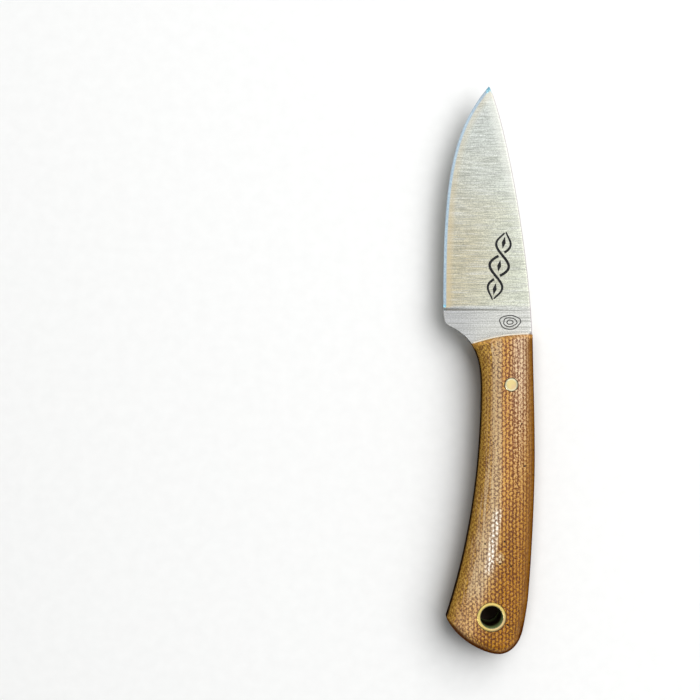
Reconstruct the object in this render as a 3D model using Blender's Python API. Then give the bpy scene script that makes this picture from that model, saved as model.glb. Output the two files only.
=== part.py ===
"""Whittling knife: a fixed blade with a full tang between two canvas micarta scales.

The knife lies on its side. +Y runs from the butt to the tip, +X from the cutting edge to the
spine, and +Z up through the two scales. The origin is under the middle of the knife's outline,
on the surface that it lies on. Outlines are in millimetres, everything else in metres.
"""

import math

import bpy
import numpy as np
from mathutils import Vector
from mathutils.geometry import delaunay_2d_cdt

MM = 0.001

# Driving dimensions
HANDLE_THICKNESS = 17.0 * MM
STOCK_THICKNESS = 3.0 * MM
GAP = 0.3 * MM  # between two pieces that touch

MIDDLE = HANDLE_THICKNESS / 2  # height of the blade's middle plane
TANG_HALF = STOCK_THICKNESS / 2
SCALE_FOOT = TANG_HALF + GAP  # the scale's flat side, from the middle plane
SCALE_THICKNESS = MIDDLE - SCALE_FOOT

# Grind of the blade
EDGE_HALF = 0.05 * MM  # half thickness left at the cutting edge
BEVEL_WIDTH = 0.85 * MM
SHOULDER_HALF = 0.28 * MM  # half thickness where the edge bevel meets the flat grind
GRIND_SLOPE = 0.052  # rise of one side, away from the edge
PLUNGE_Y = 16.6 * MM
PLUNGE_RADIUS = 1.1 * MM
PLUNGE_END_X = 10.8 * MM  # where the plunge runs out, near the spine
EDGE_X = -12.8 * MM  # the cutting edge beside the plunge
SPINE_CHAMFER = 0.4 * MM

# Crown of a scale: how far each flank runs in before it is flat
FINGER_ROUND = 7.2 * MM
BACK_ROUND = 6.0 * MM
BUTT_ROUND = 3.2 * MM
FRONT_ROUND = 1.8 * MM
RIM = 0.6 * MM  # upright wall of the scale along its outline
FRONT_DROP = 2.4 * MM  # how far the front edge's round reaches down
BLEND_POWER = 5  # how tightly two flanks turn into each other at a corner

# Fasteners
PIN_PLACE = Vector((5.7, -4.2)) * MM
PIN_RADIUS = 1.65 * MM
TUBE_PLACE = Vector((0.2, -68.9)) * MM
TUBE_RADIUS = 3.97 * MM
TUBE_BORE = 3.1 * MM

# Spacing of the mesh
STEP = 2.4 * MM
FEWEST_STEPS = 3  # along one curve of the outline
ROUND_SIDES = 24
CROWN_RINGS = [0.15 * MM, 0.6 * MM, 1.3 * MM, 2.2 * MM, 3.2 * MM, 4.5 * MM, 6.0 * MM,
               7.2 * MM, 9.2 * MM]
BLADE_RINGS = [SPINE_CHAMFER, BEVEL_WIDTH, 3.0 * MM, 6.0 * MM, 9.0 * MM, 12.0 * MM]

# The outline, anticlockwise from the tip, as Bezier curves: start, two handles, end.
CUTTING_EDGE = [((0.1, 80.0), (-11.2, 67.0), (-12.8, 50.9), (-12.8, 17.7)),
                ((-12.8, 17.7), (-12.8, 17.3), (-12.8, 17.0), (-12.8, 16.6))]
HEEL = [((-12.8, 16.6), (-12.8, 15.8), (-12.6, 14.6), (-12.4, 13.8)),
        ((-12.4, 13.8), (-12.2, 13.0), (-11.9, 12.8), (-11.2, 12.4))]
CHOIL = [((-11.2, 12.4), (-8.4, 11.0), (-6.3, 9.4), (-4.9, 7.2))]
FINGER_SIDE = [((-4.9, 7.2), (-3.4, 4.9), (-2.1, 1.7), (-2.1, -4.8)),
               ((-2.1, -4.8), (-2.1, -27.0), (-5.3, -48.8), (-11.7, -68.6))]
BUTT = [((-11.7, -68.6), (-12.0, -69.5), (-12.2, -69.8), (-11.8, -70.5)),
        ((-11.8, -70.5), (-8.6, -76.5), (-1.1, -80.0), (2.5, -80.0)),
        ((2.5, -80.0), (5.2, -80.0), (7.6, -78.1), (9.0, -74.7))]
BACK = [((9.0, -74.7), (9.6, -73.1), (10.4, -68.0), (10.8, -65.2)),
        ((10.8, -65.2), (11.5, -58.5), (12.8, -38.0), (12.8, -24.3)),
        ((12.8, -24.3), (12.8, -12.4), (12.4, -3.0), (12.2, 9.8))]
SPINE = [((12.2, 9.8), (11.3, 33.6), (4.7, 71.2), (0.1, 80.0))]
HANDLE_FRONT = [((12.2, 9.8), (3.4, 10.0), (-0.5, 8.3), (-4.9, 7.2))]


def clear_scene():
    for item in list(bpy.data.objects):
        bpy.data.objects.remove(item, do_unlink=True)


def sample(curves, step=STEP):
    """Points along joined Bezier curves, without the last one."""
    points = []
    for corners in curves:
        a, b, c, d = (np.array(corner) * MM for corner in corners)
        length = np.linalg.norm(b - a) + np.linalg.norm(c - b) + np.linalg.norm(d - c)
        count = max(FEWEST_STEPS, round(length / step))
        for t in np.arange(count) / count:
            points.append(a * (1 - t) ** 3 + b * 3 * t * (1 - t) ** 2
                          + c * 3 * t ** 2 * (1 - t) + d * t ** 3)
    return np.array(points)


def open_line(curves):
    """The same points with the last one, as a line that ends there."""
    return np.vstack([sample(curves), np.array(curves[-1][-1]) * MM])


def circle(centre, radius):
    turns = np.arange(ROUND_SIDES) * 2 * math.pi / ROUND_SIDES
    return np.array(centre) + radius * np.stack([np.cos(turns), np.sin(turns)], axis=1)


def distance_to(line, points):
    """How far each point is from an open line."""
    start, run = line[:-1], np.diff(line, axis=0)
    offset = points[:, None] - start[None]
    along = (offset * run).sum(axis=2) / (run ** 2).sum(axis=1)
    foot = offset - np.clip(along, 0, 1)[..., None] * run
    return np.linalg.norm(foot, axis=2).min(axis=1)


def inner_points(outline, rings, holes):
    """Points on lines inset from a closed outline, none closer together than half a step."""
    closed = np.vstack([outline, outline[:1]])
    run = np.roll(outline, -1, axis=0) - np.roll(outline, 1, axis=0)
    inward = np.stack([-run[:, 1], run[:, 0]], axis=1) / np.linalg.norm(run, axis=1)[:, None]
    kept = np.empty((0, 2))
    previous = 0.0
    for ring in rings:
        nearest = min(STEP / 2, 0.8 * (ring - previous))
        candidates = outline + inward * ring
        candidates = candidates[distance_to(closed, candidates) > 0.97 * ring]
        for centre, radius in holes:
            away = np.linalg.norm(candidates - np.array(centre), axis=1)
            candidates = candidates[away > radius + nearest]
        for point in candidates:
            if not len(kept) or np.linalg.norm(kept - point, axis=1).min() > nearest:
                kept = np.vstack([kept, point])
        previous = ring
    return kept


def triangulate(outline, holes, inner, creases=()):
    """Flat triangles inside an outline and outside round holes, with edges along the creases."""
    loops = [outline] + [circle(centre, radius) for centre, radius in holes]
    edges, count = [], 0
    for loop in loops:
        edges += [(count + i, count + (i + 1) % len(loop)) for i in range(len(loop))]
        count += len(loop)
    for crease in creases:
        edges += [(count + i, count + i + 1) for i in range(len(crease) - 1)]
        count += len(crease)
    points = np.vstack([*loops, *creases, inner])
    found = delaunay_2d_cdt([Vector(point) for point in points], edges, [], 1, 1e-7)
    points = np.array([tuple(point) for point in found[0]])
    faces = np.array(found[2])
    middles = points[faces].mean(axis=1)
    for centre, radius in holes:
        outside = np.linalg.norm(middles - np.array(centre), axis=1) > radius
        faces, middles = faces[outside], middles[outside]
    return points, faces


def plate(name, flat, low, high, material, origin=(0.0, 0.0, MIDDLE)):
    """A closed solid between two heights above the middle plane, over flat triangles."""
    points, faces = flat
    count = len(points)
    edges = {(a, b) for face in faces for a, b in zip(face, np.roll(face, -1))}
    walls = [(a + count, b + count, b, a) for a, b in edges if (b, a) not in edges]
    underside = [tuple(count + corner for corner in face[::-1]) for face in faces]
    local = points - np.array(origin[:2])
    height = origin[2] - MIDDLE
    vertices = [(x, y, z - height) for (x, y), z in zip(local, high)]
    vertices += [(x, y, z - height) for (x, y), z in zip(local, low)]
    mesh = bpy.data.meshes.new(name)
    mesh.from_pydata(vertices, [], [tuple(face) for face in faces] + underside + sorted(walls))
    mesh.shade_smooth()
    mesh.set_sharp_from_angle(angle=math.radians(30))
    mesh.materials.append(material)
    piece = bpy.data.objects.new(name, mesh)
    piece.location = origin
    bpy.context.collection.objects.link(piece)
    return piece


def flank_drop(points, side, radius, depth):
    """How far a quarter-ellipse round lies below the crest, over points in from one side."""
    across = np.clip(distance_to(open_line(side), points) / radius, 0, 1)
    return depth * (1 - np.sqrt(1 - (1 - across) ** 2))


def crown(points):
    """Height of a scale's outer face above its flat side."""
    lowest = SCALE_THICKNESS - RIM
    drops = np.array([
        flank_drop(points, CHOIL + FINGER_SIDE, FINGER_ROUND, lowest),
        flank_drop(points, BUTT, BUTT_ROUND, lowest),
        flank_drop(points, BACK + SPINE, BACK_ROUND, lowest),
        flank_drop(points, HANDLE_FRONT, FRONT_ROUND, FRONT_DROP),
    ])
    blended = lowest * ((drops / lowest) ** BLEND_POWER).sum(axis=0) ** (1 / BLEND_POWER)
    return SCALE_THICKNESS - np.minimum(blended, lowest)


def blade_half(points):
    """Half thickness of the steel: edge bevel, flat grind, plunge, then full stock."""
    from_edge = distance_to(open_line(CUTTING_EDGE), points)
    bevel = EDGE_HALF + (SHOULDER_HALF - EDGE_HALF) * from_edge / BEVEL_WIDTH
    flat = SHOULDER_HALF + GRIND_SLOPE * (from_edge - BEVEL_WIDTH)
    ground = np.minimum(np.where(from_edge < BEVEL_WIDTH, bevel, flat), TANG_HALF)
    into_plunge = np.clip((PLUNGE_Y + PLUNGE_RADIUS - points[:, 1]) / PLUNGE_RADIUS, 0, 1)
    half = ground + (TANG_HALF - ground) * (1 - np.sqrt(1 - into_plunge ** 2))
    from_spine = np.clip(distance_to(open_line(SPINE), points) / SPINE_CHAMFER, 0, 1)
    return half - (1 - from_spine) * np.minimum(SPINE_CHAMFER, half / 2)


def metal(name, colour, roughness):
    return finish(name, colour, roughness, metallic=1.0)


def finish(name, colour, roughness, metallic=0.0):
    material = bpy.data.materials.new(name)
    material.use_nodes = True
    shader = material.node_tree.nodes["Principled BSDF"]
    shader.inputs["Base Color"].default_value = (*colour, 1.0)
    shader.inputs["Roughness"].default_value = roughness
    shader.inputs["Metallic"].default_value = metallic
    return material


def make_blade():
    outline = sample(CUTTING_EDGE + HEEL + CHOIL + FINGER_SIDE + BUTT + BACK + SPINE)
    holes = [(PIN_PLACE, PIN_RADIUS + GAP), (TUBE_PLACE, TUBE_RADIUS + GAP)]
    inner = inner_points(outline, BLADE_RINGS, holes)
    beside_plunge = np.abs(inner[:, 1] - PLUNGE_Y - PLUNGE_RADIUS / 2) > PLUNGE_RADIUS
    inner = inner[beside_plunge | (inner[:, 0] > PLUNGE_END_X)]
    flat = triangulate(outline, holes, inner, plunge_rows())
    half = blade_half(flat[0])
    return plate("blade_and_tang", flat, -half, half, metal("steel", (0.62, 0.63, 0.62), 0.3))


def plunge_rows():
    """Lines of points across the blade through the plunge's hollow, from the edge inwards."""
    across = np.append(EDGE_X, np.arange(EDGE_X + BEVEL_WIDTH, PLUNGE_END_X, STEP))
    along = PLUNGE_Y + PLUNGE_RADIUS * np.arange(FEWEST_STEPS + 1) / FEWEST_STEPS
    return [np.stack([across, np.full(len(across), y)], axis=1) for y in along]


def make_scales():
    outline = sample(HANDLE_FRONT + FINGER_SIDE + BUTT + BACK)
    holes = [(PIN_PLACE, PIN_RADIUS + GAP), (TUBE_PLACE, TUBE_RADIUS + GAP)]
    flat = triangulate(outline, holes, inner_points(outline, CROWN_RINGS, holes))
    foot = np.full(len(flat[0]), SCALE_FOOT)
    face = SCALE_FOOT + crown(flat[0])
    micarta = finish("canvas_micarta", (0.28, 0.13, 0.045), 0.45)
    return [plate("handle_scale_upper", flat, foot, face, micarta),
            plate("handle_scale_lower", flat, -face, -foot, micarta)]


def make_fastener(name, place, radius, bore, material):
    """A pin or a tube, its ends ground down with the scales' crown."""
    outline = circle(place, radius)
    if bore:
        flat = triangulate(outline, [(place, bore)], np.empty((0, 2)))
    else:
        flat = triangulate(outline, [], np.array([place]))
    face = SCALE_FOOT + crown(flat[0])
    return plate(name, flat, -face, face, material, origin=(*place, MIDDLE))


def main():
    clear_scene()
    brass = metal("brass", (0.75, 0.55, 0.22), 0.25)
    knife = bpy.data.objects.new("whittling_knife", None)
    bpy.context.collection.objects.link(knife)
    pieces = [make_blade(), *make_scales()]
    pieces.append(make_fastener("handle_pin", PIN_PLACE, PIN_RADIUS, None, brass))
    pieces.append(make_fastener("lanyard_tube", TUBE_PLACE, TUBE_RADIUS, TUBE_BORE, brass))
    for piece in pieces:
        piece.parent = knife


main()
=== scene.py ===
"""The whittling knife's looks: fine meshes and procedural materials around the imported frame.

The knife lies on its side. +Y runs to the tip, +X to the spine, +Z up through the handle.
Outlines are in millimetres, everything else in metres.
"""

import math
from types import SimpleNamespace

import bpy
import numpy as np
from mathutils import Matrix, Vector
from mathutils.geometry import delaunay_2d_cdt


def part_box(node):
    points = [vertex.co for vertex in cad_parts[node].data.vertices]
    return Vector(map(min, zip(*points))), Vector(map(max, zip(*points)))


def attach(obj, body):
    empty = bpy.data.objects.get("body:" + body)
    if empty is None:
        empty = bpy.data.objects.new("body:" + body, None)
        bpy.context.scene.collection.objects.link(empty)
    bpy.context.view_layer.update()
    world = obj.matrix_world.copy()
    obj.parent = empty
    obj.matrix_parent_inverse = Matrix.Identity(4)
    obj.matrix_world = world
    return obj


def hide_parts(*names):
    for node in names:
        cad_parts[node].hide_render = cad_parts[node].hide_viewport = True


MM = 0.001

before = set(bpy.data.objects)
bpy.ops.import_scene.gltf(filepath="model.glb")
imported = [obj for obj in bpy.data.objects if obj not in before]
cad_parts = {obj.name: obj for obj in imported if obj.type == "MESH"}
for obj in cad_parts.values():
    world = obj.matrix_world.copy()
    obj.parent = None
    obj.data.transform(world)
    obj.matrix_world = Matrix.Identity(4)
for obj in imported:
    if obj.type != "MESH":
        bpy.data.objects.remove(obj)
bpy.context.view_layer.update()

# Sizes taken from the frame
STEEL_LOW, STEEL_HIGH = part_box("blade_and_tang")
PIN_LOW, PIN_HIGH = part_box("handle_pin")
TUBE_LOW, TUBE_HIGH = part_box("lanyard_tube")
SCALE_LOW, SCALE_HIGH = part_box("handle_scale_upper")
MIDDLE = (STEEL_LOW[2] + STEEL_HIGH[2]) / 2  # height of the blade's middle plane
TANG_HALF = (STEEL_HIGH[2] - STEEL_LOW[2]) / 2
SCALE_FOOT = SCALE_LOW[2] - MIDDLE
SCALE_THICKNESS = SCALE_HIGH[2] - SCALE_LOW[2]
PIN_PLACE = ((PIN_LOW + PIN_HIGH) / 2)[:2]
PIN_RADIUS = (PIN_HIGH[0] - PIN_LOW[0]) / 2
TUBE_PLACE = ((TUBE_LOW + TUBE_HIGH) / 2)[:2]
TUBE_RADIUS = (TUBE_HIGH[0] - TUBE_LOW[0]) / 2

# Grind of the blade, as in the frame but for a thinner edge and a rounded spine
EDGE_HALF = 0.012 * MM
BEVEL_WIDTH = 0.85 * MM
SHOULDER_HALF = 0.28 * MM
GRIND_SLOPE = 0.052
PLUNGE_Y = 16.6 * MM
PLUNGE_RADIUS = 1.1 * MM
EDGE_X = -12.8 * MM
PLUNGE_END_X = 10.8 * MM
SPINE_ROUND = 1.0 * MM
SPINE_DROP = 0.3 * MM

# Crown of a scale, as in the frame but for the dome below
FINGER_ROUND = 7.2 * MM
BACK_ROUND = 6.0 * MM
BUTT_ROUND = 3.2 * MM
FRONT_ROUND = 1.8 * MM
RIM = 0.6 * MM
FRONT_DROP = 2.4 * MM
BLEND_POWER = 5  # how softly the flanks run into each other

TUBE_BORE = 3.08 * MM
PIN_FACE = PIN_RADIUS + 0.2 * MM  # peened a little wider than the rod
PIN_HOLE = PIN_FACE + 0.12 * MM  # leaves a dark glue line round the pin
TUBE_FACE = TUBE_RADIUS + 0.1 * MM  # flared a little wider than the tube
TUBE_HOLE = TUBE_FACE + 0.05 * MM
DOME = 0.3 * MM  # how far the crest falls off from the handle's middle line to its sides
HANDLE_FRONT_Y = 9.5 * MM  # the tang's edge is painted near black as shade from here to the butt
MARK_RISE = 0.02 * MM  # how proud the blade's dark marks stand
SCALE_GAP = 0.02 * MM  # between a scale's flat side and the tang
WALL_NORMAL = 0.2  # a face whose normal rises less than this is a wall
GLUE_AHEAD = 0.18 * MM  # how far the bead of glue lies in front of the scale
GLUE_HALF = 0.2 * MM
GLUE_RISE = 0.06 * MM
STEP = 0.7 * MM
FEWEST_STEPS = 4

# The outline, anticlockwise from the tip, as Bezier curves: start, two handles, end.
CUTTING_EDGE = [((0.1, 80.0), (-11.2, 67.0), (-12.8, 50.9), (-12.8, 17.7))]
HEEL = [((-12.8, 16.6), (-12.8, 15.8), (-12.6, 14.6), (-12.4, 13.8)),
        ((-12.4, 13.8), (-12.2, 13.0), (-11.9, 12.8), (-11.2, 12.4))]
CHOIL = [((-11.2, 12.4), (-8.4, 11.0), (-6.3, 9.4), (-4.9, 7.2))]
FINGER_SIDE = [((-4.9, 7.2), (-3.4, 4.9), (-2.1, 1.7), (-2.1, -4.8)),
               ((-2.1, -4.8), (-2.1, -27.0), (-5.3, -48.8), (-11.7, -68.6))]
BUTT = [((-11.7, -68.6), (-12.0, -69.5), (-12.2, -69.8), (-11.8, -70.5)),
        ((-11.8, -70.5), (-8.6, -76.5), (-1.1, -80.0), (2.5, -80.0)),
        ((2.5, -80.0), (5.2, -80.0), (7.6, -78.1), (9.0, -74.7))]
BACK = [((9.0, -74.7), (9.6, -73.1), (10.4, -68.0), (10.8, -65.2)),
        ((10.8, -65.2), (11.5, -58.5), (12.8, -38.0), (12.8, -24.3)),
        ((12.8, -24.3), (12.8, -12.4), (12.4, -3.0), (12.2, 9.8))]
SPINE = [((12.2, 9.8), (11.3, 33.6), (4.7, 71.2), (0.1, 80.0))]
HANDLE_FRONT = [((12.2, 9.8), (3.4, 10.0), (-0.5, 8.3), (-4.9, 7.2))]


# ---------------------------------------------------------------- flat outlines and triangles


def sample(curves, step=STEP):
    """Points along joined Bezier curves, without the last one."""
    points = []
    for corners in curves:
        a, b, c, d = (np.array(corner) * MM for corner in corners)
        length = np.linalg.norm(b - a) + np.linalg.norm(c - b) + np.linalg.norm(d - c)
        count = max(FEWEST_STEPS, round(length / step))
        for t in np.arange(count) / count:
            points.append(a * (1 - t) ** 3 + b * 3 * t * (1 - t) ** 2
                          + c * 3 * t ** 2 * (1 - t) + d * t ** 3)
    return np.array(points)


def open_line(curves):
    """The same points with the last one, as a line that ends there."""
    return np.vstack([sample(curves), np.array(curves[-1][-1]) * MM])


def turns(count):
    return np.arange(count) * 2 * math.pi / count


def circle(centre, radius, count=72):
    angle = turns(count)
    return np.array(centre) + radius * np.stack([np.cos(angle), np.sin(angle)], axis=1)


def distance_to(line, points):
    """How far each point is from an open line."""
    start, run = line[:-1], np.diff(line, axis=0)
    offset = points[:, None] - start[None]
    along = (offset * run).sum(axis=2) / (run ** 2).sum(axis=1)
    foot = offset - np.clip(along, 0, 1)[..., None] * run
    return np.linalg.norm(foot, axis=2).min(axis=1)


def inner_points(outline, rings, holes):
    """Points on lines inset from a closed outline, kept apart from each other."""
    closed = np.vstack([outline, outline[:1]])
    run = np.roll(outline, -1, axis=0) - np.roll(outline, 1, axis=0)
    inward = np.stack([-run[:, 1], run[:, 0]], axis=1) / np.linalg.norm(run, axis=1)[:, None]
    kept = []
    previous = 0.0
    for ring in rings:
        nearest = min(0.6 * STEP, 0.8 * (ring - previous))
        candidates = outline + inward * ring
        candidates = candidates[distance_to(closed, candidates) > 0.985 * ring]
        for centre, radius in holes:
            away = np.linalg.norm(candidates - np.array(centre), axis=1)
            candidates = candidates[away > radius + nearest]
        kept = spread(kept, candidates, nearest)
        previous = ring
    return np.array(kept)


def spread(kept, candidates, nearest):
    """Adds to kept the candidates that stay apart from all others, with cells as wide as that."""
    cells = {}
    for point in kept:
        cells.setdefault(tuple((point // nearest).astype(int)), []).append(point)
    for point in candidates:
        x, y = (point // nearest).astype(int)
        near = [other for i in (x - 1, x, x + 1) for j in (y - 1, y, y + 1)
                for other in cells.get((i, j), ())]
        if all(math.dist(point, other) >= nearest for other in near):
            cells.setdefault((x, y), []).append(point)
            kept.append(point)
    return kept


def triangulate(outline, holes, inner, creases=()):
    """Flat triangles inside an outline and outside round holes, with edges along the creases."""
    loops = [outline] + [circle(centre, radius) for centre, radius in holes]
    edges, count = [], 0
    for loop in loops:
        edges += [(count + i, count + (i + 1) % len(loop)) for i in range(len(loop))]
        count += len(loop)
    for crease in creases:
        edges += [(count + i, count + i + 1) for i in range(len(crease) - 1)]
        count += len(crease)
    points = np.vstack([*loops, *creases, inner])
    found = delaunay_2d_cdt([Vector(point) for point in points], edges, [], 1, 1e-7)
    points = np.array([tuple(point) for point in found[0]])
    faces = np.array(found[2])
    middles = points[faces].mean(axis=1)
    for centre, radius in holes:
        outside = np.linalg.norm(middles - np.array(centre), axis=1) > radius
        faces, middles = faces[outside], middles[outside]
    return points, faces


# ---------------------------------------------------------------- pieces from meshes


def add_piece(name, vertices, faces, material, slot, sharp=30):
    mesh = bpy.data.meshes.new(name)
    mesh.from_pydata([tuple(vertex) for vertex in vertices], [], [tuple(face) for face in faces])
    mesh.validate()
    mesh.shade_smooth()
    mesh.set_sharp_from_angle(angle=math.radians(sharp))
    mesh.materials.append(material)
    piece = bpy.data.objects.new(name, mesh)
    bpy.context.collection.objects.link(piece)
    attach(piece, "root")
    return piece


def plate_parts(flat, low, high):
    """Vertices and faces of a closed solid between two heights above the middle plane."""
    points, faces = flat
    count = len(points)
    edges = {(a, b) for face in faces for a, b in zip(face, np.roll(face, -1))}
    walls = [(a + count, b + count, b, a) for a, b in edges if (b, a) not in edges]
    underside = [tuple(count + corner for corner in face[::-1]) for face in faces]
    vertices = [(x, y, MIDDLE + z) for (x, y), z in zip(points, high)]
    vertices += [(x, y, MIDDLE + z) for (x, y), z in zip(points, low)]
    return vertices, [tuple(face) for face in faces] + underside + sorted(walls)


def flank_drop(points, side, radius, depth):
    """How far a quarter-ellipse round lies below the crest, over points in from one side."""
    across = np.clip(distance_to(open_line(side), points) / radius, 0, 1)
    return depth * (1 - np.sqrt(1 - (1 - across) ** 2))


def crown(points):
    """Height of a scale's outer face above its flat side."""
    lowest = SCALE_THICKNESS - RIM
    drops = np.array([
        flank_drop(points, CHOIL + FINGER_SIDE, FINGER_ROUND, lowest),
        flank_drop(points, BUTT, BUTT_ROUND, lowest),
        flank_drop(points, BACK + SPINE, BACK_ROUND, lowest),
        flank_drop(points, HANDLE_FRONT, FRONT_ROUND, FRONT_DROP),
    ])
    blended = lowest * ((drops / lowest) ** BLEND_POWER).sum(axis=0) ** (1 / BLEND_POWER)
    left = distance_to(open_line(FINGER_SIDE), points)
    right = distance_to(open_line(BACK), points)
    off_middle = (right - left) / (right + left)
    return SCALE_THICKNESS - np.minimum(blended + DOME * off_middle ** 2, lowest)


def blade_half(points):
    """Half thickness of the steel: edge bevel, flat grind, plunge, then full stock."""
    from_edge = distance_to(open_line(CUTTING_EDGE), points)
    bevel = EDGE_HALF + (SHOULDER_HALF - EDGE_HALF) * from_edge / BEVEL_WIDTH
    flat = SHOULDER_HALF + GRIND_SLOPE * (from_edge - BEVEL_WIDTH)
    ground = np.minimum(np.where(from_edge < BEVEL_WIDTH, bevel, flat), TANG_HALF)
    into_plunge = np.clip((PLUNGE_Y + PLUNGE_RADIUS - points[:, 1]) / PLUNGE_RADIUS, 0, 1)
    half = ground + (TANG_HALF - ground) * (1 - np.sqrt(1 - into_plunge ** 2))
    from_spine = np.clip(distance_to(open_line(SPINE), points) / SPINE_ROUND, 0, 1)
    drop = 1 - np.sqrt(1 - (1 - from_spine) ** 2)
    return half - drop * np.minimum(SPINE_DROP, half / 2)


def plunge_heights():
    """Where the rows of points through the plunge's hollow lie, closer where it is steeper."""
    angle = np.linspace(0, math.pi / 2, 11)
    return PLUNGE_Y + PLUNGE_RADIUS * (1 - np.sin(angle))


def along_spine(points):
    """The points, with even rows of their own through the spine's round."""
    line = open_line(SPINE)
    run = np.gradient(line, axis=0)
    inward = np.stack([-run[:, 1], run[:, 0]], axis=1) / np.linalg.norm(run, axis=1)[:, None]
    away = distance_to(line, points) > SPINE_ROUND + 0.4 * STEP
    rows = np.vstack([(line + inward * share * SPINE_ROUND)[1:-1]
                      for share in (0.06, 0.18, 0.35, 0.6, 1.0)])
    behind_bevel = distance_to(open_line(CUTTING_EDGE), rows) > BEVEL_WIDTH + 0.2 * MM
    return np.vstack([points[away], rows[behind_bevel]])


def make_blade(material, edge_shade_material):
    rows = plunge_heights()
    heel_rows = np.stack([np.full(len(rows) - 2, EDGE_X), rows[1:-1]], axis=1)
    outline = np.vstack([open_line(CUTTING_EDGE), heel_rows,
                         sample(HEEL + CHOIL + FINGER_SIDE + BUTT + BACK + SPINE)])
    holes = [(PIN_PLACE, PIN_HOLE), (TUBE_PLACE, TUBE_HOLE)]
    rings = [0.1 * MM, 0.25 * MM, 0.45 * MM, 0.65 * MM, BEVEL_WIDTH, 1.2 * MM]
    rings += list(np.arange(2.0 * MM, 14.0 * MM, STEP))
    inner = inner_points(outline, rings, holes)
    inner = along_spine(inner)
    beside_plunge = np.abs(inner[:, 1] - PLUNGE_Y - PLUNGE_RADIUS / 2) > 0.65 * PLUNGE_RADIUS
    inner = inner[beside_plunge | (inner[:, 0] > PLUNGE_END_X)]
    across = np.append(EDGE_X, np.arange(EDGE_X + BEVEL_WIDTH, PLUNGE_END_X, STEP))
    creases = [np.stack([across, np.full(len(across), y)], axis=1) for y in rows]
    flat = triangulate(outline, holes, inner, creases)
    half = blade_half(flat[0])
    blade = add_piece("blade_steel", *plate_parts(flat, -half, half), material, "steel", sharp=11)
    blade.data.materials.append(edge_shade_material)
    # the tang's walls under the handle get the painted shade
    for face in blade.data.polygons:
        if abs(face.normal.z) < WALL_NORMAL and face.center.y < HANDLE_FRONT_Y:
            face.material_index = 1
    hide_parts("blade_and_tang")
    return blade


def make_scales(material):
    outline = sample(HANDLE_FRONT + FINGER_SIDE + BUTT + BACK)
    holes = [(PIN_PLACE, PIN_HOLE), (TUBE_PLACE, TUBE_HOLE)]
    rings = [0.04 * MM, 0.14 * MM, 0.3 * MM, 0.5 * MM, 0.75 * MM, 1.05 * MM, 1.4 * MM]
    rings += list(np.arange(1.8 * MM, 13.0 * MM, 0.5 * MM))
    flat = triangulate(outline, holes, inner_points(outline, rings, holes))
    foot = np.full(len(flat[0]), TANG_HALF + SCALE_GAP)
    face = SCALE_FOOT + crown(flat[0])
    scales = []
    for name, low, high in (("upper", foot, face), ("lower", -face, -foot)):
        scale = add_piece("micarta_" + name, *plate_parts(flat, low, high), material, "micarta")
        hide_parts("handle_scale_" + name)
        scales.append(scale)
    return scales


def turned(name, place, profile, material, closed, count=96):
    """A ring or pin: a profile of radius and depth below the crown, turned about its axis.

    The profile runs along the top from the inside out, and the underside mirrors it.
    """
    rows = []
    for radius, depth in profile:
        points = circle(place, radius, count)
        rows.append(np.column_stack([points, SCALE_FOOT + crown(points) - depth]))
    top = np.array(rows)
    bottom = top[::-1] * (1, 1, -1)
    vertices = np.vstack([*top, *bottom]) + (0, 0, MIDDLE)
    total = 2 * len(profile)
    faces = []
    for row in range(total - 1 + closed):
        following = (row + 1) % total
        for i in range(count):
            j = (i + 1) % count
            faces.append((row * count + i, following * count + i,
                          following * count + j, row * count + j))
    if not closed:
        faces.append(tuple(range(count)))
        faces.append(tuple((total - 1) * count + i for i in reversed(range(count))))
    return add_piece(name, vertices, faces, material, "brass")


def make_pin(material):
    profile = [(0.2 * PIN_FACE, -0.05 * MM), (0.6 * PIN_FACE, -0.045 * MM),
               (0.82 * PIN_FACE, -0.03 * MM), (0.93 * PIN_FACE, -0.01 * MM),
               (0.98 * PIN_FACE, 0.03 * MM), (PIN_FACE, 0.12 * MM)]
    pin = turned("brass_pin", PIN_PLACE, profile, material, closed=False)
    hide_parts("handle_pin")
    return pin


def make_tube(material, inside):
    """The lanyard tube, flared a little at both ends, its bore painted dark as shade."""
    profile = [(TUBE_BORE, 0.4 * MM), (TUBE_BORE + 0.02 * MM, 0.24 * MM),
               (TUBE_BORE + 0.08 * MM, 0.11 * MM), (TUBE_BORE + 0.18 * MM, 0.03 * MM),
               (TUBE_BORE + 0.3 * MM, 0.0), (TUBE_FACE - 0.14 * MM, 0.0),
               (TUBE_FACE - 0.05 * MM, 0.05 * MM), (TUBE_FACE, 0.14 * MM)]
    tube = turned("brass_tube", TUBE_PLACE, profile, material, closed=True)
    tube.data.materials.append(inside)
    for face in tube.data.polygons:
        if math.dist(face.center[:2], TUBE_PLACE) < TUBE_BORE + 0.01 * MM:
            face.material_index = 1
    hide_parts("lanyard_tube")
    return tube


def ribbon(line, half_width, loop=False, rise=MARK_RISE):
    """Vertices and faces of a thin strip on the steel's upper face, along a line."""
    line = np.array(line)
    run = np.gradient(line, axis=0)
    if loop:
        run = np.roll(line, -1, axis=0) - np.roll(line, 1, axis=0)
    side = np.stack([-run[:, 1], run[:, 0]], axis=1) / np.linalg.norm(run, axis=1)[:, None]
    left, right = line + side * half_width, line - side * half_width
    rows = [np.column_stack([flat, MIDDLE + blade_half(flat) + above])
            for flat, above in ((left, rise), (right, rise), (right, -rise), (left, -rise))]
    vertices = np.stack(rows, axis=1).reshape(-1, 3)
    count = len(line)
    faces = []
    for row in range(count - 1 + loop):
        after = (row + 1) % count
        for corner in range(4):
            turn = (corner + 1) % 4
            faces.append((4 * row + corner, 4 * row + turn, 4 * after + turn, 4 * after + corner))
    if not loop:
        faces.append((3, 2, 1, 0))
        faces.append(tuple(4 * (count - 1) + corner for corner in range(4)))
    return vertices, faces


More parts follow.
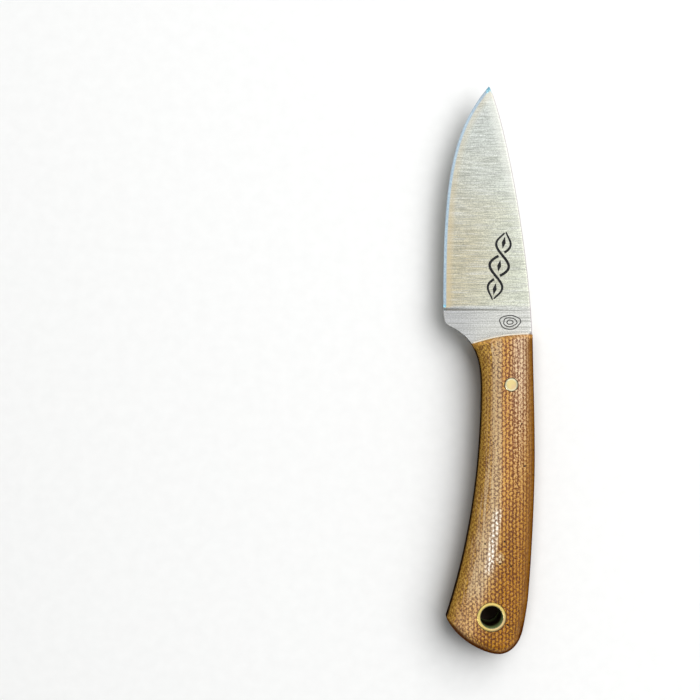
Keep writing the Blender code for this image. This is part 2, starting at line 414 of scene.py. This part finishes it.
def add_marks(name, ribbons, material):
    """One piece from several ribbons."""
    vertices, faces = [], []
    for points, strip in ribbons:
        faces += [tuple(len(vertices) + corner for corner in face) for face in strip]
        vertices += list(points)
    marks = add_piece(name, vertices, faces, material, "steel")
    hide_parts("blade_and_tang")
    return marks


def make_twist(material):
    """A plain twist of two strands with a lozenge in each loop, etched on the grind."""
    centre, length, swing, lean, loops = (2.9 * MM, 29.2 * MM), 20 * MM, 2.7 * MM, 11, 3
    along_axis = np.array([math.sin(math.radians(lean)), math.cos(math.radians(lean))])
    across_axis = np.array([along_axis[1], -along_axis[0]])

    def placed(along, across):
        return np.array(centre) + np.outer(along, along_axis) + np.outer(across, across_axis)

    ribbons = []
    for hand in (1, -1):
        for loop in range(loops):
            under = (loop % 2 == 0) == (hand == 1)
            start, end = (0.03, 0.0) if under else (0.0, -0.03)
            share = np.linspace((loop + start * 3) / loops, (loop + 1 + end * 3) / loops, 22)
            share = np.clip(share, 0.012, 0.988)
            bow = np.sin(math.pi * share) ** 0.45
            across = hand * swing * bow * np.sin(loops * math.pi * share)
            half_width = (0.12 * MM + 0.26 * MM * bow)[:, None]
            ribbons.append(ribbon(placed((share - 0.5) * length, across), half_width))
    for loop in range(loops):
        share = np.linspace(-1, 1, 9)
        half_width = (0.03 * MM + 0.55 * MM * (1 - np.abs(share)))[:, None]
        along = ((loop + 0.5) / loops - 0.5) * length + 1.7 * MM * share
        ribbons.append(ribbon(placed(along, np.zeros(9)), half_width))
    return add_marks("twist_mark", ribbons, material)


def make_rings(material):
    """Three uneven nested ovals, like a log's growth rings, etched beside the handle."""
    centre = np.array([5.9, 13.3]) * MM
    ribbons = []
    for size, phase in ((1.0, 0.3), (0.64, 1.4), (0.3, 2.6)):
        angle = turns(56)
        wobble = 1 + 0.05 * np.sin(3 * angle + phase) + 0.03 * np.sin(5 * angle + 2 * phase)
        oval = np.stack([2.9 * np.cos(angle), 1.95 * np.sin(angle)], axis=1) * MM
        ribbons.append(ribbon(centre + oval * (size * wobble)[:, None], 0.15 * MM, loop=True))
    return add_marks("ring_mark", ribbons, material)


def make_glue(material):
    """The thin beads of glue squeezed out along the fronts of the two scales, coloured near white
    as a painted highlight.
    """
    line = open_line(HANDLE_FRONT)[1:-1] + (0.0, GLUE_AHEAD)
    vertices, faces = ribbon(line, GLUE_HALF, rise=GLUE_RISE)
    below = [(x, y, 2 * MIDDLE - z) for x, y, z in vertices]
    flipped = [face[::-1] for face in faces]
    beads = []
    for name, points, strip in (("upper", vertices, faces), ("lower", below, flipped)):
        bead = add_piece("glue_line_" + name, points, strip, material, "micarta")
        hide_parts("handle_scale_" + name)
        beads.append(bead)
    return beads


# ---------------------------------------------------------------- materials


class Graph:
    """A node tree, with a short call for each kind of node that the finishes use."""

    def __init__(self, tree, coordinates="Object"):
        self.tree = tree
        self.place = self.add("ShaderNodeTexCoord").outputs[coordinates]

    def add(self, kind, **settings):
        node = self.tree.nodes.new(kind)
        for key, value in settings.items():
            setattr(node, key, value)
        return node

    def put(self, socket, value):
        """Links a socket to another, or sets it to a number or a colour."""
        if isinstance(value, bpy.types.NodeSocket):
            self.tree.links.new(value, socket)
        elif isinstance(value, tuple) and socket.type == "RGBA":
            socket.default_value = (*value, 1.0)
        else:
            socket.default_value = value

    def math(self, operation, *values):
        node = self.add("ShaderNodeMath", operation=operation)
        for socket, value in zip(node.inputs, values):
            self.put(socket, value)
        return node.outputs[0]

    def vector(self, operation, first, second):
        node = self.add("ShaderNodeVectorMath", operation=operation)
        self.put(node.inputs[0], first)
        self.put(node.inputs[1], second)
        return node.outputs[0]

    def split(self, vector):
        node = self.add("ShaderNodeSeparateXYZ")
        self.put(node.inputs[0], vector)
        return node.outputs

    def join(self, x, y, z):
        node = self.add("ShaderNodeCombineXYZ")
        for socket, value in zip(node.inputs, (x, y, z)):
            self.put(socket, value)
        return node.outputs[0]

    def noise(self, stretch, detail=2.0, roughness=0.5, place=None):
        """Noise of -1 to 1, roughly, with the given number of features per metre each way."""
        node = self.add("ShaderNodeTexNoise")
        self.put(node.inputs["Vector"], self.vector("MULTIPLY", place or self.place, stretch))
        node.inputs["Scale"].default_value = 1.0
        node.inputs["Detail"].default_value = detail
        node.inputs["Roughness"].default_value = roughness
        return self.math("MULTIPLY_ADD", node.outputs["Fac"], 2.0, -1.0)

    def chance(self, place):
        """An even random number of 0 to 1 for each place."""
        node = self.add("ShaderNodeTexWhiteNoise", noise_dimensions="3D")
        self.put(node.inputs["Vector"], place)
        return node.outputs["Value"]

    def ramp(self, value, low, high, to_low=0.0, to_high=1.0):
        """A smooth step from to_low to to_high as the value goes from low to high."""
        node = self.add("ShaderNodeMapRange", interpolation_type="SMOOTHSTEP")
        for socket, number in zip(node.inputs, (value, low, high, to_low, to_high)):
            self.put(socket, number)
        return node.outputs[0]

    def mix(self, share, first, second, blend="MIX"):
        node = self.add("ShaderNodeMix", data_type="RGBA", blend_type=blend)
        self.put(node.inputs[0], share)
        self.put(node.inputs[6], first)
        self.put(node.inputs[7], second)
        return node.outputs[2]

    def bump(self, height, distance, strength):
        node = self.add("ShaderNodeBump")
        node.inputs["Strength"].default_value = strength
        node.inputs["Distance"].default_value = distance
        self.put(node.inputs["Height"], height)
        return node.outputs[0]

    def product(self, first, *others):
        """All the values multiplied together."""
        for other in others:
            first = self.math("MULTIPLY", first, other)
        return first

    def upright(self):
        """1 where the surface lies flat, 0 where it is a wall."""
        normal = self.add("ShaderNodeNewGeometry").outputs["Normal"]
        return self.math("ABSOLUTE", self.split(normal)[2])

    def from_middle(self, z, middle):
        """How far a height is from the knife's middle plane, on either side."""
        return self.math("ABSOLUTE", self.math("SUBTRACT", z, float(middle)))


def finish(name, make):
    """A material whose Principled shader takes what make says of its sockets."""
    material = bpy.data.materials.new(name)
    material.use_nodes = True
    g = Graph(material.node_tree)
    shader = material.node_tree.nodes["Principled BSDF"]
    for key, value in make(g).items():
        g.put(shader.inputs[key.replace("_", " ")], value)
    return material


def srgb(red, green, blue):
    """A colour of 0 to 255 as the shader's linear values."""
    def linear(value):
        value /= 255
        return value / 12.92 if value <= 0.04045 else ((value + 0.055) / 1.055) ** 2.4
    return linear(red), linear(green), linear(blue)


CANVAS_COLUMN = 0.97  # mm from one warp thread to the next
CANVAS_ROW = 0.70  # mm from one weft thread to the next
CANVAS_LAYER = 0.5  # mm of one layer of cloth
CANVAS_TILT = 0.16  # how far the layers rise towards the spine


def canvas(g, x, y, height):
    """Where a point lies in the layered cloth: its thread and crossing, and their chances."""
    depth = g.math("MULTIPLY_ADD", x, CANVAS_TILT, height)
    depth = g.math("DIVIDE", depth, CANVAS_LAYER)
    depth = g.math("MULTIPLY_ADD", g.noise((90, 9, 90), detail=3.0), 1.2, depth)
    sheet = g.math("FLOOR", depth)
    shift = g.chance(g.join(sheet, 3.0, 7.0))
    across = g.math("MULTIPLY_ADD", shift, 9.0, g.math("DIVIDE", x, CANVAS_COLUMN))
    across = g.math("MULTIPLY_ADD", g.noise((120, 25, 120)), 0.25, across)
    across = g.math("MULTIPLY_ADD", g.noise((900, 700, 900)), 0.36, across)
    column = g.math("ROUND", across)
    thread = g.chance(g.join(column, 17.0, sheet))
    along = g.math("MULTIPLY_ADD", thread, 0.5, g.math("DIVIDE", y, CANVAS_ROW))
    along = g.math("MULTIPLY_ADD", g.noise((400, 60, 300)), 0.6, along)
    along = g.math("MULTIPLY_ADD", g.noise((800, 800, 800)), 0.45, along)
    cell = g.chance(g.join(column, g.math("ROUND", along), sheet))
    over = g.math("COSINE", g.math("MULTIPLY", across, math.pi))
    under = g.math("COSINE", g.math("MULTIPLY", along, math.pi))
    return SimpleNamespace(
        shift=shift, thread=thread, cell=cell, weave=g.math("MULTIPLY", over, under),
        rib=g.math("COSINE", g.math("MULTIPLY", across, 2 * math.pi)))


def place_on_handle(g, x, y, wander, thread):
    """The handle's zones of painted highlight and sheen, and how far a point is from the finger
    side.

    Parabolas stand in for the outline's curves on the finger side and along the front.
    """
    past_middle = g.math("MINIMUM", g.math("ADD", y, 4.8), 0.0)
    bulge = g.math("MULTIPLY", g.math("MULTIPLY", past_middle, past_middle), 0.00236)
    from_finger = g.math("ADD", g.math("ADD", x, 2.1), bulge)
    from_finger = g.math("MULTIPLY_ADD", wander, 1.6, from_finger)
    from_finger = g.math("MULTIPLY_ADD", g.math("SUBTRACT", thread, 0.5), 2.2, from_finger)
    right = g.ramp(x, 4.5, 7.5)
    # painted sheen: a beige band in from the finger side, fainter at the butt
    left_sheen_end = g.math("ADD", from_finger, g.ramp(y, -60.0, -5.0, 0.0, 2.6))
    left_sheen = g.product(g.ramp(from_finger, 1.2, 4.2), g.ramp(left_sheen_end, 10.2, 6.0),
                     g.ramp(y, -60.0, -67.0, 1.0, 0.4))
    # painted highlight: light thread crowns on the spine side, strongest near the front
    wear_and_highlight = g.product(right, g.ramp(x, 11.4, 9.6), g.ramp(y, -46.0, 0.0, 0.1, 0.8))
    off_side = g.math("SUBTRACT", 12.2, x)
    past_front = g.math("MULTIPLY_ADD", g.math("MULTIPLY", off_side, off_side), 0.0093,
                        g.math("SUBTRACT", y, 9.9))
    return SimpleNamespace(from_finger=from_finger, right=right, left_sheen=left_sheen, wear_and_highlight=wear_and_highlight,
                           crest=painted_crest_glint(g, x, y), past_front=past_front)


def painted_crest_glint(g, x, y):
    """1 on the painted highlight: a bright streak along the crest and a round patch beside it."""
    off_crest = g.math("ABSOLUTE", g.math("MULTIPLY_ADD", y, -0.15, g.math("SUBTRACT", x, 7.85)))
    off_centre = g.math("ABSOLUTE", g.math("ADD", y, 48.0))
    streak = g.math("MULTIPLY", g.ramp(off_crest, 1.7, 0.5), g.ramp(off_centre, 10.5, 7.0))
    x_off = g.math("SUBTRACT", x, 2.5)
    y_off = g.math("MULTIPLY", g.math("ADD", y, 52.6), 0.7)
    patch = g.math("ADD", g.math("MULTIPLY", x_off, x_off), g.math("MULTIPLY", y_off, y_off))
    return g.math("MAXIMUM", streak, g.ramp(patch, 2.2, 0.4, 0.0, 0.6))


def canvas_grain(g, cloth, zone):
    """How far the cut weave stands out: ribs and crossings, roughened thread by thread."""
    fibre = g.noise((2900, 2700, 2900), detail=1.0, roughness=0.7)
    grain = g.math("MULTIPLY_ADD", cloth.rib, g.ramp(zone.from_finger, 3.0, 6.5, 0.5, 1.1), 0.05)
    grain = g.math("MULTIPLY_ADD", cloth.weave, g.ramp(zone.right, 0.0, 1.0, 1.2, 1.0), grain)
    grain = g.math("MULTIPLY_ADD", fibre, 4.1, grain)
    grain = g.math("MULTIPLY_ADD", g.math("SUBTRACT", cloth.cell, 0.5), 0.7, grain)
    return g.math("MULTIPLY_ADD", g.math("SUBTRACT", cloth.thread, 0.5), 0.8, grain)


def resin_base(g, y, wander, cloth, zone):
    """The resin's colour between the threads, with painted sheen, shade and highlights laid over
    it.
    """
    base = g.mix(g.ramp(wander, -0.3, 0.3), srgb(186, 130, 48), srgb(172, 114, 54))
    cloudy = g.ramp(g.noise((500, 250, 500)), -0.4, 0.4, 0.35, 0.0)
    base = g.mix(cloudy, base, srgb(160, 96, 66))
    base = g.mix(g.ramp(cloth.shift, 0.4, 1.0, 0.0, 0.7), base, srgb(162, 108, 70))
    base = g.mix(g.ramp(cloth.thread, 0.55, 1.0, 0.0, 0.5), base, srgb(150, 90, 60))
    base = g.mix(g.ramp(cloth.thread, 0.35, 0.0, 0.0, 0.5), base, srgb(210, 156, 66))
    reddish = g.product(g.ramp(zone.from_finger, 8.0, 9.5), g.ramp(zone.from_finger, 14.5, 12.5),
                        g.ramp(y, -30.0, -52.0, 0.0, 0.6))
    base = g.mix(reddish, base, srgb(138, 88, 54))
    # painted sheen
    base = g.mix(g.math("MULTIPLY", zone.left_sheen, 0.8), base, srgb(216, 180, 133))
    # painted shade: olive along the finger side
    base = g.mix(g.ramp(zone.from_finger, 3.0, 1.6), base, srgb(180, 138, 56))
    # painted highlight along the crest
    base = g.mix(g.math("MULTIPLY", zone.crest, 0.45), base, srgb(232, 210, 186))
    # painted highlight, lighter still towards the top
    near_top = g.math("MULTIPLY", zone.wear_and_highlight, g.ramp(y, -22.0, 2.0, 0.0, 0.7))
    return g.mix(near_top, base, srgb(206, 174, 146))


def weave_colour(g, base, grain, zone):
    """The base with light thread crowns and dark dots between them; the crowns carry the painted
    highlights and sheen.
    """
    # thread crowns lighter where the highlight is painted
    light = g.mix(zone.wear_and_highlight, srgb(230, 180, 88), srgb(244, 224, 192))
    # thread crowns beige under the painted sheen
    light = g.mix(zone.left_sheen, light, srgb(214, 192, 148))
    # painted highlight: thread crowns near white on the crest
    light = g.mix(zone.crest, light, srgb(255, 252, 242))
    shine = g.math("MULTIPLY_ADD", zone.crest, 0.3, 0.75)
    colour = g.mix(g.math("MULTIPLY", g.ramp(grain, -0.4, 2.0), shine), base, light)
    # dark dots greyer under the painted sheen
    dark = g.mix(zone.left_sheen, srgb(106, 62, 34), srgb(112, 90, 74))
    return g.mix(g.math("MULTIPLY", g.ramp(grain, 0.6, -1.6), 0.95), colour, dark)


def painted_side_shade(g, colour, x, y, height, upright, zone):
    """The colour with painted shade, deeper towards the back and the butt and dark down the
    handle's walls, and a painted highlight along its front.
    """
    # painted shade, deeper towards the back and the butt
    shade = g.math("MULTIPLY", g.ramp(y, 5.0, -65.0, 0.1, 0.9),
                   g.ramp(zone.from_finger, 6.5, 13.5))
    colour = g.mix(shade, colour, (0.66, 0.53, 0.1), blend="MULTIPLY")
    behind = g.ramp(zone.past_front, -0.9, -2.4)
    # painted highlight on the front round of the scale
    lip_highlight = g.ramp(zone.past_front, -1.4, -0.5, 0.0, 0.28)
    colour = g.mix(lip_highlight, colour, srgb(250, 186, 108))
    # painted shade down the handle's sloping flanks
    flank_shade = g.product(g.ramp(upright, 0.97, 0.5), g.ramp(x, 0.0, 8.0, 0.3, 0.8), behind)
    side = g.mix(g.ramp(x, 0.0, 8.0), srgb(122, 86, 38), srgb(128, 82, 26))
    colour = g.mix(flank_shade, colour, side)
    # painted shade, near black, down the walls at the rims
    rim_shade = g.math("MULTIPLY", g.ramp(height, 3.8, 2.4, 0.0, 0.9), behind)
    colour = g.mix(rim_shade, colour, srgb(30, 14, 8))
    # painted shade on the steepest slopes of the spine side and the butt
    by_butt = g.ramp(y, -68.0, -73.0)
    turned_from = g.math("MULTIPLY_ADD", by_butt, 0.2, 0.5)
    turned_to = g.math("MULTIPLY_ADD", by_butt, 0.2, 0.2)
    corner = g.math("MAXIMUM", g.ramp(x, 4.0, 7.0), g.ramp(y, -68.0, -72.0))
    corner = g.product(corner, g.ramp(upright, turned_from, turned_to, 0.0, 0.85), behind)
    return g.mix(corner, colour, srgb(70, 26, 8))


def micarta(g):
    """Layers of plain-woven canvas in resin, tilted a little and cut through by the crown, with
    painted sheen, shade and highlights.

    Its parts work in millimetres, with x towards the spine and y towards the tip.
    """
    x, y, z = g.split(g.vector("MULTIPLY", g.place, (1 / MM, 1 / MM, 1 / MM)))
    height = g.from_middle(z, MIDDLE / MM)
    upright = g.upright()
    wander = g.noise((150, 20, 150), detail=2.0)
    cloth = canvas(g, x, y, height)
    zone = place_on_handle(g, x, y, wander, cloth.thread)
    grain = canvas_grain(g, cloth, zone)
    base = resin_base(g, y, wander, cloth, zone)
    colour = weave_colour(g, base, grain, zone)
    colour = painted_side_shade(g, colour, x, y, height, upright, zone)
    pit = g.math("MULTIPLY", g.ramp(cloth.cell, 0.988, 0.99), g.ramp(cloth.weave, -0.3, -0.75))
    colour = g.mix(pit, colour, srgb(30, 18, 10))
    relief = g.math("MULTIPLY_ADD", pit, -1.5, g.math("MULTIPLY", grain, 0.4))
    return dict(Base_Color=colour, Roughness=g.ramp(grain, -1.0, 1.2, 0.5, 0.22),
                Specular_IOR_Level=g.ramp(upright, 0.5, 0.92, 0.0, 0.3),
                Normal=g.bump(relief, 0.05 * MM, 0.8))


def belt_ground(g, x, y, lines, streaks):
    """The steel's colour, with painted reflection: warm low on the blade, brighter towards the
    spine, cooler to the tip, grey on the ricasso and brighter by the scale.
    """
    grit = g.noise((3000, 3400, 2500), detail=2.0, roughness=0.8)
    cloud = g.noise((70, 90, 70), detail=2.0)
    on_grind = g.ramp(y, 0.0172, 0.0185)
    # painted reflection: warm low on the blade, brighter towards the spine, cooler towards the
    # tip
    toward_tip = g.ramp(g.math("MULTIPLY_ADD", cloud, 0.012, y), 0.03, 0.07)
    toward_spine = g.ramp(g.math("MULTIPLY_ADD", cloud, 0.006, x), -0.012, 0.010)
    ground = g.mix(toward_spine, srgb(226, 214, 182), srgb(252, 255, 236))
    ground = g.mix(toward_tip, ground, srgb(238, 242, 236))
    # painted reflection: the ricasso brighter towards the spine and by the scale
    ricasso = g.mix(toward_spine, srgb(214, 214, 218), srgb(250, 250, 246))
    scale_highlight = g.math("MULTIPLY", toward_spine, g.ramp(y, 0.0145, 0.011, 0.0, 0.7))
    ricasso = g.mix(scale_highlight, ricasso, srgb(255, 255, 250))
    colour = g.mix(on_grind, ricasso, ground)
    colour = g.mix(g.ramp(lines, -0.5, 0.35, 0.62, 0.0), colour, srgb(120, 122, 114))
    colour = g.mix(g.ramp(streaks, -0.1, 0.5, 0.0, 0.5), colour, srgb(255, 255, 255))
    colour = g.mix(g.ramp(grit, -0.5, 0.4, 0.6, 0.0), colour, srgb(120, 122, 118))
    # painted highlight along the spine
    spine_highlight = g.math("MULTIPLY", spine_highlight_band(g, x, y), on_grind)
    colour = g.mix(spine_highlight, colour, srgb(255, 255, 248))
    speck = g.ramp(g.noise((700, 700, 700), detail=1.0), 0.66, 0.7)
    return g.mix(speck, colour, srgb(70, 66, 60))


def spine_highlight_band(g, x, y):
    """A light band of painted highlight along the blade's spine, whose curve a parabola follows,
    in millimetres.
    """
    x_mm = g.math("MULTIPLY", x, 1 / MM)
    past_handle = g.math("MULTIPLY_ADD", y, 1 / MM, -9.8)
    curve = g.math("MULTIPLY", g.math("MULTIPLY", past_handle, past_handle), -0.00196)
    curve = g.math("MULTIPLY_ADD", past_handle, -0.0347, curve)
    from_spine = g.math("SUBTRACT", g.math("ADD", curve, 12.2), x_mm)
    return g.ramp(from_spine, 3.4, 1.0, 0.0, g.ramp(y, 0.03, 0.06, 0.08, 0.4))


def steel(g):
    """Flat-ground steel with belt marks across the blade, and a painted bluish reflection on its
    edge bevel.
    """
    x, y, z = g.split(g.place)
    half = g.from_middle(z, MIDDLE)
    upright = g.upright()
    lines = g.noise((40, 3400, 3400), detail=2.0, roughness=0.8)
    streaks = g.noise((12, 2100, 2100), detail=2.0, roughness=0.6)
    colour = belt_ground(g, x, y, lines, streaks)
    near_edge = g.ramp(half, 0.4 * MM, 0.3 * MM, 0.0, g.ramp(y, 0.06, 0.03, 0.25, 0.6))
    colour = g.mix(near_edge, colour, srgb(216, 196, 158))
    glint = g.noise((1500, 1500, 1500), detail=2.0)
    # painted reflection: the edge bevel bluish and mottled, darker blue at the very edge
    bevel = g.mix(g.ramp(glint, -0.3, 0.3), srgb(112, 178, 202), srgb(196, 234, 244))
    outermost = g.ramp(half, 0.11 * MM, 0.04 * MM, 0.0, g.ramp(y, 0.03, 0.055, 0.1, 0.75))
    bevel = g.mix(outermost, bevel, srgb(70, 124, 146))
    on_bevel = g.math("MULTIPLY", g.ramp(half, 0.26 * MM, 0.225 * MM), g.ramp(upright, 0.5, 0.8))
    colour = g.mix(on_bevel, colour, bevel)
    # painted shade, pinkish grey, on the spine round's steepest part
    by_spine = g.math("MAXIMUM", g.ramp(y, 0.018, 0.0185), g.ramp(x, 0.0108, 0.0114))
    rounded = g.product(g.ramp(upright, 0.975, 0.94), g.ramp(upright, 0.4, 0.6), by_spine)
    colour = g.mix(rounded, colour, srgb(196, 186, 190))
    scratch = g.math("MULTIPLY_ADD", streaks, 0.5, lines)
    return dict(Base_Color=colour, Metallic=1.0,
                Roughness=g.math("MULTIPLY_ADD", lines, 0.07, 0.3),
                Normal=g.bump(scratch, 0.006 * MM, 0.7))


def tang_edge_shade(g):
    """The tang's edge between the scales, painted near black as shade, in streaks."""
    lines = g.noise((900, 300, 3000), detail=3.0)
    return dict(Base_Color=g.mix(g.ramp(lines, -0.5, 0.5), srgb(14, 10, 8), srgb(40, 26, 18)),
                Specular_IOR_Level=0.0, Roughness=0.6)


def brass(colour, centre, inner, outer):
    """Rubbed brass, with a painted highlight lighter beyond outer or within inner of its centre,
    and a painted reflection pinker to one side.
    """
    def make(g):
        x, y = g.split(g.place)[:2]
        x_off = g.math("SUBTRACT", x, float(centre[0]))
        y_off = g.math("SUBTRACT", y, float(centre[1]))
        length = g.add("ShaderNodeVectorMath", operation="LENGTH")
        g.put(length.inputs[0], g.join(x_off, y_off, 0.0))
        out = length.outputs["Value"]
        # painted highlight at the rims
        lip_highlight = g.math("MAXIMUM", g.ramp(out, outer, outer + 0.2 * MM),
                     g.ramp(out, inner, inner - 0.2 * MM))
        # painted reflection: pinker to one side
        reflection_side = g.math("DIVIDE", g.math("SUBTRACT", x_off, y_off), out)
        rubbed = g.noise((1200, 2600, 1200), detail=3.0, roughness=0.7)
        tarnish = g.ramp(g.noise((500, 500, 300), detail=3.0), -0.3, 0.6, 0.0, 0.4)
        tone = g.mix(tarnish, colour, tuple(0.75 * part for part in colour))
        tone = g.mix(g.ramp(reflection_side, 0.4, 1.4, 0.0, 0.5), tone, srgb(238, 204, 168))
        tone = g.mix(g.math("MULTIPLY", lip_highlight, 0.8), tone, srgb(255, 250, 214))
        rough = g.math("MULTIPLY_ADD", rubbed, 0.08, 0.3)
        return dict(Base_Color=tone, Metallic=1.0, Roughness=rough,
                    Normal=g.bump(rubbed, 0.003 * MM, 0.5))
    return make


def bore_shade(g):
    """Painted shade inside the tube: dark brown deep down, lighter and green towards its mouth.
    """
    from_middle = g.from_middle(g.split(g.place)[2], MIDDLE)
    uneven = g.math("MULTIPLY_ADD", g.noise((600, 600, 600)), 1 * MM, from_middle)
    # painted shade: darker deeper in the bore, lighter towards the mouth
    near_mouth = g.ramp(uneven, 2 * MM, 7.5 * MM)
    return dict(Base_Color=g.mix(near_mouth, srgb(40, 24, 12), srgb(132, 150, 98)), Roughness=0.5)


def glue_and_highlight(g):
    """Cured epoxy, a little milky, coloured near white as a painted highlight."""
    cloud = g.noise((900, 900, 900), detail=2.0)
    # painted highlight: near white
    milky = g.mix(g.ramp(cloud, -0.5, 0.5), srgb(238, 238, 226), srgb(255, 252, 242))
    return dict(Base_Color=milky, Roughness=0.3)


def ink(dark, light):
    def make(g):
        wear_and_highlight = g.ramp(g.noise((1400, 3000, 1400), detail=3.0), -0.2, 0.6)
        return dict(Base_Color=g.mix(wear_and_highlight, dark, light), Roughness=0.55)
    return make


# ---------------------------------------------------------------- studio


def paper(g):
    """White paper with painted shade: greyer close to what lies on it, and dark brown deep in
    enclosed spots.
    """
    grain = g.noise((300, 300, 300), detail=3.0)
    contact_shade_ao = g.add("ShaderNodeAmbientOcclusion", samples=12)
    contact_shade_ao.inputs["Distance"].default_value = 6 * MM
    deep_shade_ao = g.add("ShaderNodeAmbientOcclusion", samples=8)
    deep_shade_ao.inputs["Distance"].default_value = 20 * MM
    tone = g.mix(g.ramp(grain, -1, 1), (0.86, 0.86, 0.86), (0.9, 0.9, 0.9))
    openness = contact_shade_ao.outputs["AO"]
    # painted shadow: greyer close to the knife
    tone = g.mix(g.ramp(openness, 1.0, 0.3, 0.0, 0.55), tone, (0.1, 0.1, 0.1))
    # painted shade: dark brown deep in enclosed spots, such as under the tube's bore
    tone = g.mix(g.ramp(deep_shade_ao.outputs["AO"], 0.25, 0.1, 0.0, 0.9), tone, (0.08, 0.03, 0.01))
    return dict(Base_Color=tone, Roughness=0.9)


def make_floor():
    """A sheet of paper under the knife that curls up far away from it."""
    size, count = 3.0, 24
    grid = np.linspace(-size, size, count + 1)
    vertices = [(x, y, max(0.0, math.hypot(x, y) - 2.0) ** 2 * 0.3) for y in grid for x in grid]
    faces = [(j * (count + 1) + i, j * (count + 1) + i + 1,
              (j + 1) * (count + 1) + i + 1, (j + 1) * (count + 1) + i)
             for j in range(count) for i in range(count)]
    mesh = bpy.data.meshes.new("floor")
    mesh.from_pydata(vertices, [], faces)
    mesh.shade_smooth()
    mesh.materials.append(finish("floor_paper", paper))
    floor = bpy.data.objects.new("floor", mesh)
    bpy.context.collection.objects.link(floor)
    return floor


def aim(item, place, target):
    item.location = place
    item.rotation_euler = (Vector(target) - Vector(place)).to_track_quat("-Z", "Y").to_euler()


def add_light(name, place, size, radiance, on, colour=(1.0, 1.0, 1.0), mirrored=False):
    """A soft box that lights only the named pieces: as a glint if mirrored, else as fill."""
    lamp = bpy.data.lights.new(name, "AREA")
    lamp.shape = "RECTANGLE"
    lamp.size, lamp.size_y = size
    lamp.energy = radiance * math.pi * size[0] * size[1]
    lamp.color = colour
    item = bpy.data.objects.new(name, lamp)
    item.visible_glossy = mirrored
    item.visible_diffuse = not mirrored
    receivers = bpy.data.collections.new(name + "_receivers")
    for piece in on:
        receivers.objects.link(piece)
    item.light_linking.receiver_collection = receivers
    bpy.context.collection.objects.link(item)
    aim(item, place, (0.0, 0.0, float(MIDDLE)))


def make_world():
    """A dim room, brighter overhead and to the right, and bluish low on the left."""
    world = bpy.data.worlds.new("studio")
    bpy.context.scene.world = world
    world.use_nodes = True
    g = Graph(world.node_tree, "Generated")
    back = world.node_tree.nodes["Background"]
    x, y, z = g.split(g.place)
    room = g.math("ADD", g.ramp(x, -1.0, 1.0, 0.12, 0.36), g.ramp(y, 0.1, 0.8, 0.0, 0.36))
    g.put(back.inputs[0], g.mix(g.ramp(x, -0.42, -0.2), srgb(225, 236, 244), srgb(255, 255, 250)))
    g.put(back.inputs[1], g.math("ADD", room, g.ramp(z, 0.75, 0.92, 0.0, 0.25)))


def make_camera():
    """Straight above, to the knife's cutting-edge side, as wide as the framing needs."""
    view_width, height, offset_x, offset_y = 0.1979, 0.5317, -0.0392, 0.00546
    camera = bpy.data.cameras.new("camera")
    item = bpy.data.objects.new("camera", camera)
    bpy.context.collection.objects.link(item)
    camera.lens = camera.sensor_width * (height - float(MIDDLE)) / view_width
    item.location = (offset_x, offset_y, height)
    bpy.context.scene.camera = item


def main():
    make_camera()
    blade = make_blade(finish("ground_steel", steel), finish("tang_edge_painted_shade", tang_edge_shade))
    scales = make_scales(finish("canvas_micarta", micarta))
    pin_brass = brass(srgb(248, 226, 160), PIN_PLACE, 0.0, 0.68 * PIN_FACE)
    tube_brass = brass(srgb(250, 222, 132), TUBE_PLACE, TUBE_BORE + 0.28 * MM, TUBE_FACE)
    pin = make_pin(finish("pale_brass", pin_brass))
    tube = make_tube(finish("yellow_brass", tube_brass), finish("bore_painted_shade", bore_shade))
    beads = make_glue(finish("glue_and_highlight", glue_and_highlight))
    make_twist(finish("black_etching", ink(srgb(44, 44, 50), srgb(86, 86, 92))))
    make_rings(finish("grey_etching", ink(srgb(96, 98, 102), srgb(150, 152, 154))))
    floor = make_floor()
    make_world()
    add_light("floor_key", (0.56, 0.31, 1.16), (1.6, 1.0), 4.1, [floor])
    add_light("handle_fill", (0.15, 0.1, 1.15), (0.6, 0.6), 9.7, [*scales, *beads, tube])
    add_light("bore_fill", (-0.35, 0.35, 0.6), (0.3, 0.3), 6.0, [tube])
    add_light("handle_glow", (-0.5, -0.1, 0.85), (0.45, 0.5), 3.0, scales, mirrored=True)
    add_light("handle_glint", (0.087, -0.16, 1.1), (0.06, 0.04), 90.0, scales, mirrored=True)
    add_light("handle_side", (0.62, 0.01, 0.51), (0.1, 0.2), 18.0, scales, mirrored=True)
    add_light("brass_glow", (0.1, 0.0, 1.2), (0.8, 0.8), 0.55, [pin, tube], mirrored=True)
    add_light("blade_glow", (0.0, 0.0, 1.2), (1.6, 1.6), 0.55, [blade], mirrored=True)
    add_light("brass_rim", (-0.5, -0.35, 0.7), (0.3, 0.3), 4.0, [pin, tube], mirrored=True)
    add_light("spine_glint", (0.66, 0.27, 0.58), (0.8, 1.0), 0.7, [blade], mirrored=True)
    add_light("bevel_glow", (-0.43, 0.25, 0.78), (0.7, 0.5), 0.8, [blade],
              colour=(0.66, 0.9, 1.0), mirrored=True)
    bpy.context.scene.view_settings.view_transform = "Standard"


main()
